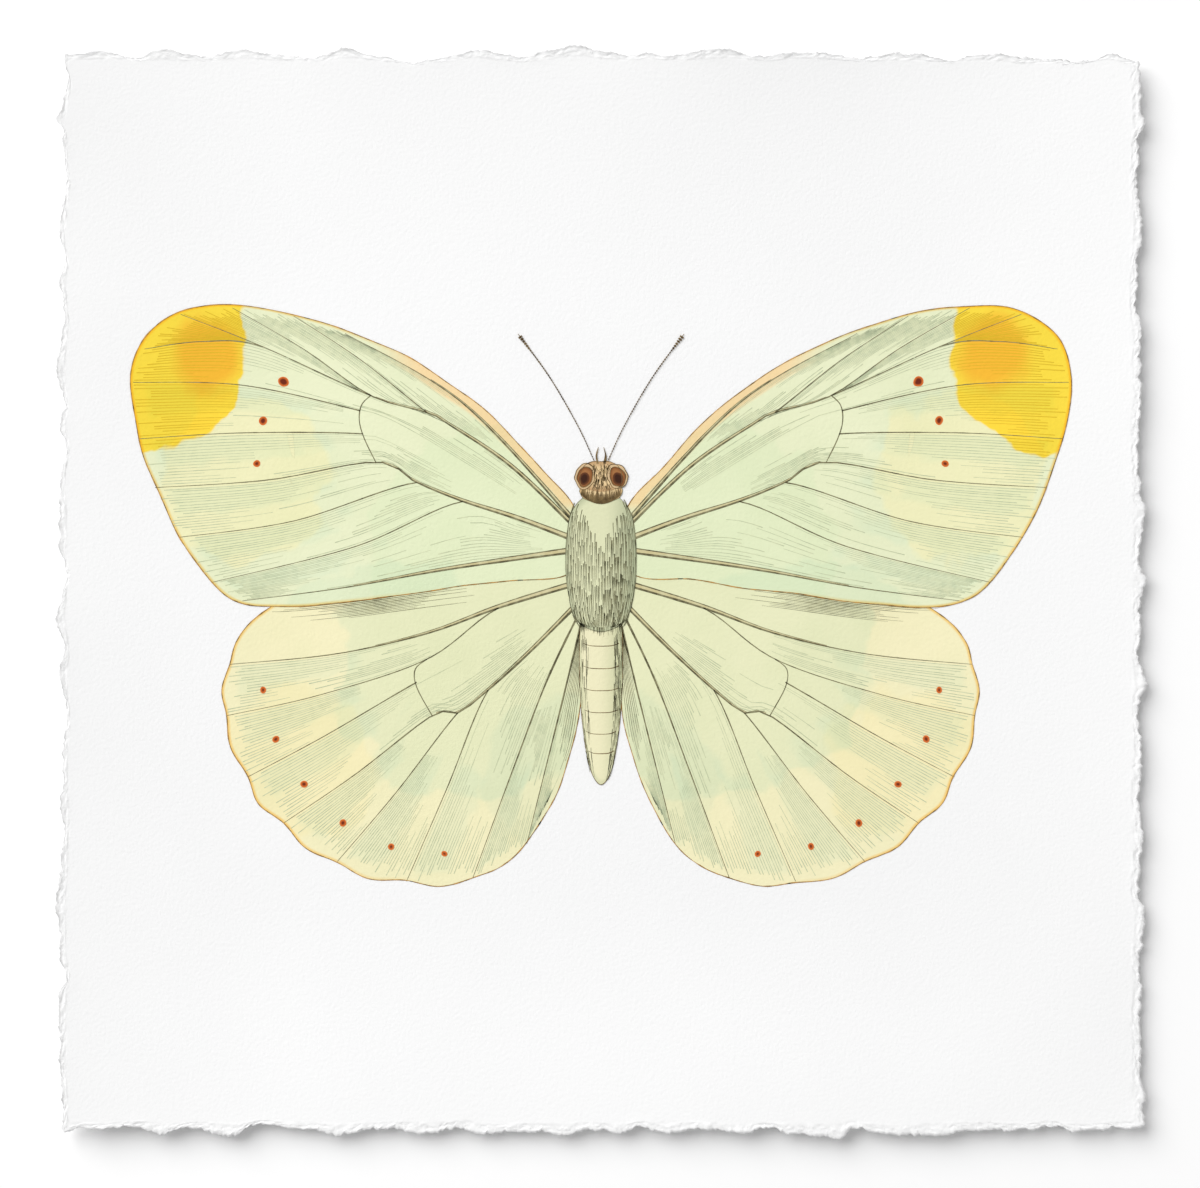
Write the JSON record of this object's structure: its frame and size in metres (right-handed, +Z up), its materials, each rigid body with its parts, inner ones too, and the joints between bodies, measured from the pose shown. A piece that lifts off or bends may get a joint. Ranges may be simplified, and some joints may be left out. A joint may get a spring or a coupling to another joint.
{
  "type": "deckle-edged paper art print",
  "caption": "Square sheet of thick white handmade cotton paper with torn deckle edges, printed with a hand-coloured butterfly engraving.",
  "frame": {"origin": "centre of the flat middle of the sheet's back, on the surface that the sheet lies on", "axes": "+Z up out of the picture side, +Y towards the top of the picture, +X towards its right"},
  "size_m": [0.2126, 0.213, 0.005],
  "materials": {
    "cotton_paper": "matte",
    "printing_ink": "matte",
    "watercolour": "matte"
  },
  "bodies": {
    "root": {"paper_sheet": "cotton_paper"}
  },
  "joints": []
}
